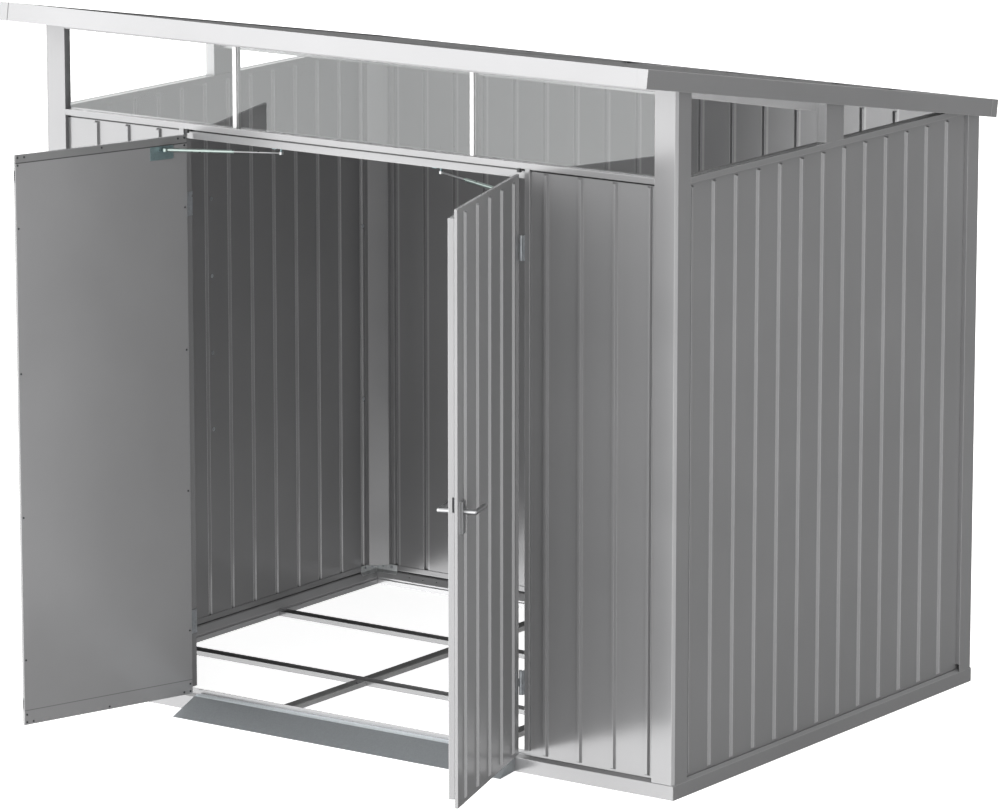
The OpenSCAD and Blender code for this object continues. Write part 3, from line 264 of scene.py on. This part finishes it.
# Wall screws. Pan-head screws with washers, driven from the inside: a row of four up
# the middle of each side wall and two beside each rear post.
screw_tree = bpy.data.node_groups.new("screw_row", "GeometryNodeTree")
for name, kind in (("Count", "Int"), ("Start", "Vector"), ("Step", "Vector"),
                   ("Turn", "Vector"), ("Head Radius", "Float"), ("Head Height", "Float")):
    screw_tree.interface.new_socket(name, in_out="INPUT", socket_type="NodeSocket" + kind)
screw_tree.interface.new_socket("Screws", in_out="OUTPUT", socket_type="NodeSocketGeometry")
asked = screw_tree.nodes.new("NodeGroupInput").outputs


def screw_node(kind, **sockets):
    node = screw_tree.nodes.new(kind)
    for name, value in sockets.items():
        socket = node.inputs[name.replace("_", " ")]
        if isinstance(value, bpy.types.NodeSocket):
            screw_tree.links.new(value, socket)
        else:
            socket.default_value = value
    return node.outputs[0]


def sized(value, factor):
    scaled = screw_tree.nodes.new("ShaderNodeMath")
    scaled.operation = "MULTIPLY"
    scaled.inputs[1].default_value = factor
    screw_tree.links.new(value, scaled.inputs[0])
    return scaled.outputs[0]


CROWN, WASHER_WIDTH, WASHER_HEIGHT = 0.6, 1.35, 0.5  # of the head's radius and height
head = screw_node("GeometryNodeMeshCone", Vertices=16, Radius_Bottom=asked["Head Radius"],
                  Radius_Top=sized(asked["Head Radius"], CROWN), Depth=asked["Head Height"])
washer = screw_node("GeometryNodeMeshCylinder", Vertices=20,
                    Radius=sized(asked["Head Radius"], WASHER_WIDTH),
                    Depth=sized(asked["Head Height"], WASHER_HEIGHT))
whole = screw_tree.nodes.new("GeometryNodeJoinGeometry")
screw_tree.links.new(head, whole.inputs[0])
screw_tree.links.new(washer, whole.inputs[0])
row_line = screw_tree.nodes.new("GeometryNodeMeshLine")
row_line.mode = "OFFSET"
screw_tree.links.new(asked["Count"], row_line.inputs["Count"])
screw_tree.links.new(asked["Start"], row_line.inputs["Start Location"])
screw_tree.links.new(asked["Step"], row_line.inputs["Offset"])
turn = screw_tree.nodes.new("FunctionNodeEulerToRotation")
screw_tree.links.new(asked["Turn"], turn.inputs[0])
placed = screw_node("GeometryNodeInstanceOnPoints", Points=row_line.outputs[0],
                    Instance=whole.outputs[0], Rotation=turn.outputs[0])
real = screw_node("GeometryNodeRealizeInstances", Geometry=placed)
coated = screw_node("GeometryNodeSetMaterial", Geometry=real, Material=zinc)
screw_tree.links.new(coated, screw_tree.nodes.new("NodeGroupOutput").inputs[0])
sockets = {item.name: item.identifier for item in screw_tree.interface.items_tree}

wall_inside = -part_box("panel_left")[1].x
head_radius, head_height = 0.005, 0.003
middle_row, post_row = (0.84, 0.73, 0.27, 4), (1.712, 0.687, 0.629, 2)
heads = bmesh.new()
for side in (-1, 1):
    for along, low, step, count in (middle_row, post_row):
        carrier = bpy.data.objects.new("screw_row", bpy.data.meshes.new("screw_row"))
        bpy.context.scene.collection.objects.link(carrier)
        rows = carrier.modifiers.new("rows", "NODES")
        rows.node_group = screw_tree
        for name, value in (("Count", count), ("Start", (side * wall_inside, along, low)),
                            ("Step", (0, 0, step)), ("Turn", (0, -side * math.pi / 2, 0)),
                            ("Head Radius", head_radius), ("Head Height", head_height)):
            rows[sockets[name]] = value
        baked = bpy.data.meshes.new_from_object(
            carrier.evaluated_get(bpy.context.evaluated_depsgraph_get()))
        carrier.modifiers.clear()
        bpy.data.objects.remove(carrier)
        heads.from_mesh(baked)
screw_mesh = bpy.data.meshes.new("wall_screws")
heads.to_mesh(screw_mesh)
heads.free()
screw_mesh.materials.append(zinc)
wall_screws = bpy.data.objects.new("wall_screws", screw_mesh)
bpy.context.scene.collection.objects.link(wall_screws)
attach(wall_screws, "shed")

# Door frame and top rails. Closed tubes beside and above the doorway, and folded rails
# with a groove for the panes on the front and sides.
# The lintel gets the same painted shadow line just under the top rail.
dress(coated_sheet("lintel_coat", silver_tone, silver_rough, rail_shadow_line), "door_lintel")
dress(silver, "door_jambs", "front_top_rail", "side_top_rails", "back_top_rail",
      "side_uprights", "roof_beams")

# Glazing strip. Clear panes of 4 mm plastic glass in the rails' grooves, with silver
# H-section bars between them.
# Painted shade: the bars' inner part, behind the panes, is painted darker.
bar_shade_inside = ("Y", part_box("mullions")[1].y + 0.009, 0.02, 0.4, 0)
dress(coated_sheet("bar_coat", (0.5, 0.5, 0.5), 0.3, [bar_shade_inside]), "mullions")


def clear_glass():
    finish, tree, shader = shader_nodes("clear_pane")
    coords = tree.nodes.new("ShaderNodeTexCoord").outputs["Object"]
    edge = tree.nodes.new("ShaderNodeFresnel")
    edge.inputs["IOR"].default_value = 1.5
    face = tree.nodes.new("ShaderNodeNewGeometry")
    outer = tree.nodes.new("ShaderNodeMath")
    outer.operation = "SUBTRACT"
    outer.inputs[0].default_value = 1
    tree.links.new(face.outputs["Backfacing"], outer.inputs[1])
    seen = tree.nodes.new("ShaderNodeMath")
    seen.operation = "MULTIPLY"
    tree.links.new(outer.outputs["Value"], seen.inputs[0])
    tree.links.new(spread_over(tree, edge.outputs["Fac"], 0.0, 0.92, 0.0, 0.5), seen.inputs[1])
    tree.links.new(seen.outputs["Value"], shader.inputs["Alpha"])
    tree.links.new(spread_over(tree, noise(tree, coords, 6, 2), 0.015, 0.03),
                   shader.inputs["Roughness"])
    shader.inputs["Base Color"].default_value = (0.95, 0.97, 0.97, 1)
    shader.inputs["Metallic"].default_value = 1.0
    return finish


dress(clear_glass(), "glazing_panes")

# Roof. Two ribbed sheets inside folded silver edge trims, with a cap over each corner.
roof_coat = coated_sheet("roof_coat", (0.23, 0.23, 0.233), rough=0.35)
dress(roof_coat, "roof_sheets")
dress(silver, "fascia_front", "fascia_back", "fascia_sides", "fascia_caps")

# Door leaves. A ribbed tray outside and a flat sheet inside, riveted together round the
# edges, with a channel along the active leaf's free edge for the lock.
dress(silver, "leaf_left_skin", "leaf_right_skin", "leaf_right_stile")
liner_low, liner_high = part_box("leaf_left_liner")
# Painted shade: dark lines at the liner's folds and a darker band along its top.
upper_fold_shade = ("Z", liner_high.z - 0.0265, 0.0015, 0.3, 0)
upper_band_shade = ("Z", liner_high.z - 0.0125, 0.0125, 0.8, 0)
lower_fold_shade = ("Z", liner_low.z + 0.048, 0.001, 0.6, 0)
liner_coat = coated_sheet("liner_coat", (0.29, 0.29, 0.293), 0.24,
                          [upper_fold_shade, upper_band_shade, lower_fold_shade])
dress(liner_coat, "leaf_left_liner", "leaf_right_liner")


def plated(name, tone, rough):
    finish, tree, shader = shader_nodes(name)
    coords = tree.nodes.new("ShaderNodeTexCoord").outputs["Object"]
    worn = noise(tree, coords, 55, 4)
    tree.links.new(ramp_between(tree, worn, tuple(c * 0.92 for c in tone), tone),
                   shader.inputs["Base Color"])
    tree.links.new(spread_over(tree, worn, rough, rough * 1.6), shader.inputs["Roughness"])
    shader.inputs["Metallic"].default_value = 1.0
    return finish


bright = plated("bright_plate", (0.62, 0.63, 0.64), rough=0.16)
dress(bright, "hinge_pins")
rivet_steel = plated("rivet_steel", (0.05, 0.052, 0.055), rough=0.4)
dress(rivet_steel, "leaf_left_rivets", "leaf_right_rivets")

# Lock. A pressed steel case in the stile with its bolt, and chromed levers on plates.
case_steel = plated("case_steel", (0.3, 0.31, 0.32), rough=0.3)
dress(case_steel, "tumbler", "spindle")
dress(rivet_steel, "lock_case", "lock_bolt")
satin = plated("satin_chrome", (0.42, 0.425, 0.43), rough=0.26)
dress(satin, "handle_plates", "levers", "key_plug")

# Shoot bolts of the passive leaf, round steel with a knob in the free edge.
dress(case_steel, "shoot_bolt_top", "shoot_bolt_bottom")

# Stays. A passivated zinc barrel on the leaf and a bright rod that ends below the
# lintel.
stay_zinc = plated("passivated_zinc", (0.42, 0.5, 0.47), rough=0.25)
dress(stay_zinc, "stay_cylinder_left", "stay_cylinder_right")
stay_bracket_zinc = galvanised("passivated_bracket", (0.2, 0.27, 0.28), rough=0.3,
                               spangle=300, depth=0.1)
dress(stay_bracket_zinc, "leaf_left_stay_bracket", "leaf_right_stay_bracket",
      "stay_header_brackets")
dress(satin, "stay_rod_left", "stay_rod_right")

# Door bumpers. Small dark rubber blocks below the front top rail.


def rubber(name):
    finish, tree, shader = shader_nodes(name)
    coords = tree.nodes.new("ShaderNodeTexCoord").outputs["Object"]
    grain = noise(tree, coords, 400, 3)
    tree.links.new(ramp_between(tree, grain, (0.015, 0.016, 0.017), (0.03, 0.031, 0.032)),
                   shader.inputs["Base Color"])
    tree.links.new(spread_over(tree, grain, 0.5, 0.7), shader.inputs["Roughness"])
    bumped(tree, shader, grain, 0.3, 0.0002)
    return finish


dress(rubber("bumper_rubber"), "door_bumpers")

# Studio. A pale floor, soft light from all round with a large bright screen low at the
# front left and a smaller one at the right, and a long lens at the front right.
FLOOR_RADIUS, FLOOR_GLOW = 70, 0.85
ground = bpy.data.meshes.new("studio_floor")
plan = bmesh.new()
bmesh.ops.create_circle(plan, cap_ends=True, segments=64, radius=FLOOR_RADIUS)
plan.to_mesh(ground)
plan.free()
floor = bpy.data.objects.new("studio_floor", ground)
bpy.context.scene.collection.objects.link(floor)
floor.visible_glossy = False
pale, tree, shader = shader_nodes("pale_floor")
coords = tree.nodes.new("ShaderNodeTexCoord").outputs["Object"]
tree.links.new(ramp_between(tree, noise(tree, coords, 0.8, 2), (0.78, 0.78, 0.78),
                            (0.82, 0.82, 0.82)), shader.inputs["Base Color"])
shader.inputs["Roughness"].default_value = 0.9
shader.inputs["Emission Color"].default_value = (1, 1, 1, 1)
shader.inputs["Emission Strength"].default_value = FLOOR_GLOW
ground.materials.append(pale)

studio = bpy.data.worlds.new("studio")
bpy.context.scene.world = studio
studio.use_nodes = True
tree = studio.node_tree
tree.nodes.clear()
around = tree.nodes.new("ShaderNodeTexCoord").outputs["Generated"]


def eased(tree, value, start, end, low, high):
    span = tree.nodes.new("ShaderNodeMapRange")
    span.interpolation_type = "SMOOTHSTEP"
    span.inputs["From Min"].default_value = start
    span.inputs["From Max"].default_value = end
    span.inputs["To Min"].default_value = low
    span.inputs["To Max"].default_value = high
    tree.links.new(value, span.inputs["Value"])
    return span.outputs["Result"]


def toward(direction):
    aim = tree.nodes.new("ShaderNodeVectorMath")
    aim.operation = "DOT_PRODUCT"
    aim.inputs[1].default_value = Vector(direction).normalized()
    tree.links.new(around, aim.inputs[0])
    return aim.outputs["Value"]


def joined(operation, first, second):
    node = tree.nodes.new("ShaderNodeMath")
    node.operation = operation
    tree.links.new(first, node.inputs[0])
    tree.links.new(second, node.inputs[1])
    return node.outputs["Value"]


def screen(direction, edge, core, strength):
    """A soft light: full inside the core angle, none beyond the edge angle, in degrees."""
    return eased(tree, toward(direction), math.cos(math.radians(edge)),
                 math.cos(math.radians(core)), 0, strength)


up, back_right = (0, 0, 1), (0.75, 0.66, 0)
sky = eased(tree, toward(up), start=-0.15, end=0.1, low=0.25, high=1.15)
dimmed = eased(tree, toward(back_right), start=0.0, end=0.8, low=1.0, high=0.42)
sky = joined("MULTIPLY", sky, dimmed)
front_left, front_right = (-0.57, -0.81, -0.07), (0.8, -0.6, -0.12)
glow = joined("ADD", sky, screen(front_left, edge=63, core=20, strength=3.25))
glow = joined("ADD", glow, screen(front_right, edge=38, core=10, strength=1.2))
seen = tree.nodes.new("ShaderNodeLightPath")
lit = tree.nodes.new("ShaderNodeBackground")
plain = tree.nodes.new("ShaderNodeBackground")
tree.links.new(glow, lit.inputs["Strength"])
both = tree.nodes.new("ShaderNodeMixShader")
tree.links.new(seen.outputs["Is Camera Ray"], both.inputs["Fac"])
tree.links.new(lit.outputs["Background"], both.inputs[1])
tree.links.new(plain.outputs["Background"], both.inputs[2])
lit.inputs["Color"].default_value = (1, 1, 1, 1)
plain.inputs["Color"].default_value = (1, 1, 1, 1)
surface = tree.nodes.new("ShaderNodeOutputWorld").inputs["Surface"]
tree.links.new(both.outputs["Shader"], surface)
bpy.context.scene.view_settings.view_transform = "Standard"

lens = bpy.data.cameras.new("camera")
lens.lens = 210.47
lens.sensor_width = 36
lens.sensor_fit = "HORIZONTAL"
lens.clip_end = 200
camera = bpy.data.objects.new("camera", lens)
camera.location = (10.9903, -14.7569, 5.0117)
camera_down, camera_turn = math.radians(11.9646), math.radians(35.2212)
camera.rotation_euler = (math.pi / 2 - camera_down, 0, camera_turn)
bpy.context.scene.collection.objects.link(camera)
bpy.context.scene.camera = camera
